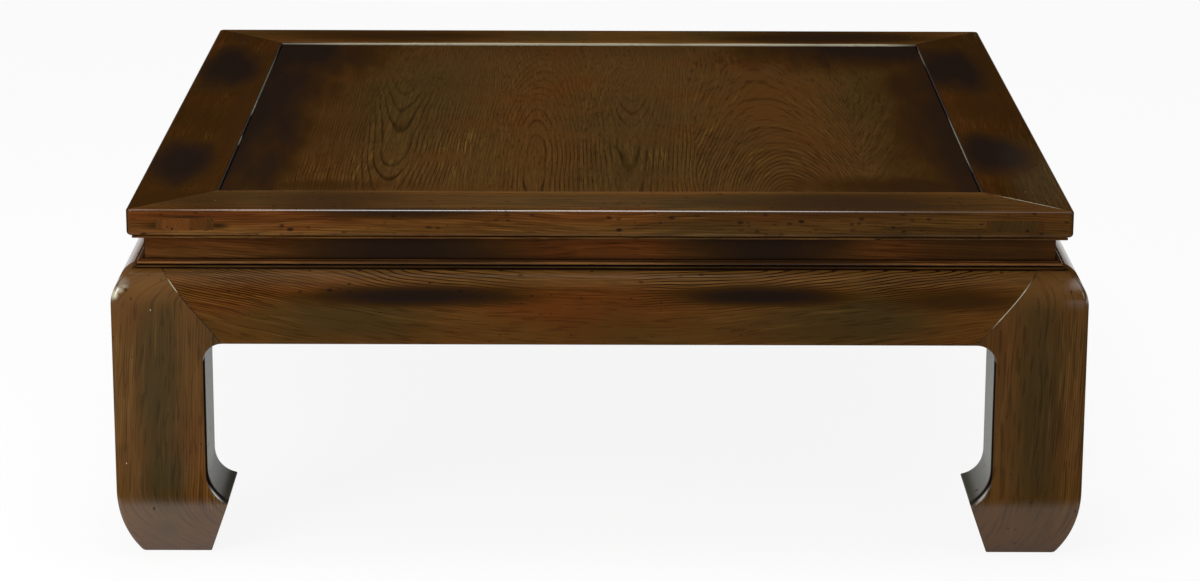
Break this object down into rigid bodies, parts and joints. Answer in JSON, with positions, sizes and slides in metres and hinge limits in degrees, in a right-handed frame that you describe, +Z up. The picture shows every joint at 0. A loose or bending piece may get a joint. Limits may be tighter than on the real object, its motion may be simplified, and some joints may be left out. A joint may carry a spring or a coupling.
{
  "type": "kang table",
  "caption": "Low square table with a framed, recessed panel top, a narrow waist, bulging aprons mitred to square legs, and inward-turned hoof feet.",
  "frame": {"origin": "on the floor under the centre of the table", "axes": "+Z up, front towards -Y, +X to the right seen from the front"},
  "size_m": [1.241, 1.241, 0.457],
  "materials": {
    "top_frame_wood": "dark brown lacquer, rubbed back and burnished, semi-gloss over open grain",
    "panel_wood": "dark brown lacquer, rubbed back and burnished, semi-gloss over open grain",
    "waist_wood": "dark brown lacquer, rubbed back and burnished, semi-gloss over open grain",
    "moulding_wood": "dark brown lacquer, rubbed back and burnished, semi-gloss over open grain",
    "apron_wood": "dark brown lacquer, rubbed back and burnished, semi-gloss over open grain",
    "leg_wood": "dark brown lacquer, rubbed back and burnished, semi-gloss over open grain",
    "end_grain_wood": "dark brown lacquer, rubbed back and burnished, semi-gloss over open grain",
    "inner_wood": "dark stained wood under the table, matte"
  },
  "bodies": {
    "root": {"apron_back": "apron_wood", "apron_front": "apron_wood", "apron_left": "apron_wood", "apron_right": "apron_wood", "hanging_keys_back": "inner_wood", "hanging_keys_front": "inner_wood", "hanging_keys_left": "inner_wood", "hanging_keys_right": "inner_wood", "leg_back_left": "leg_wood", "leg_back_right": "leg_wood", "leg_front_left": "leg_wood", "leg_front_right": "leg_wood", "moulding_back": "moulding_wood", "moulding_front": "moulding_wood", "moulding_left": "moulding_wood", "moulding_right": "moulding_wood", "panel_batten_back": "inner_wood", "panel_batten_front": "inner_wood", "panel_batten_middle": "inner_wood", "panel_board_1": "panel_wood", "panel_board_2": "panel_wood", "panel_board_3": "panel_wood", "panel_board_4": "panel_wood", "panel_board_5": "panel_wood", "panel_board_6": "panel_wood", "tenon_wedges": "end_grain_wood", "top_rail_back": "top_frame_wood", "top_rail_front": "top_frame_wood", "top_rail_left": "top_frame_wood", "top_rail_right": "top_frame_wood", "waist_back": "waist_wood", "waist_front": "waist_wood", "waist_left": "waist_wood", "waist_right": "waist_wood"}
  },
  "joints": []
}
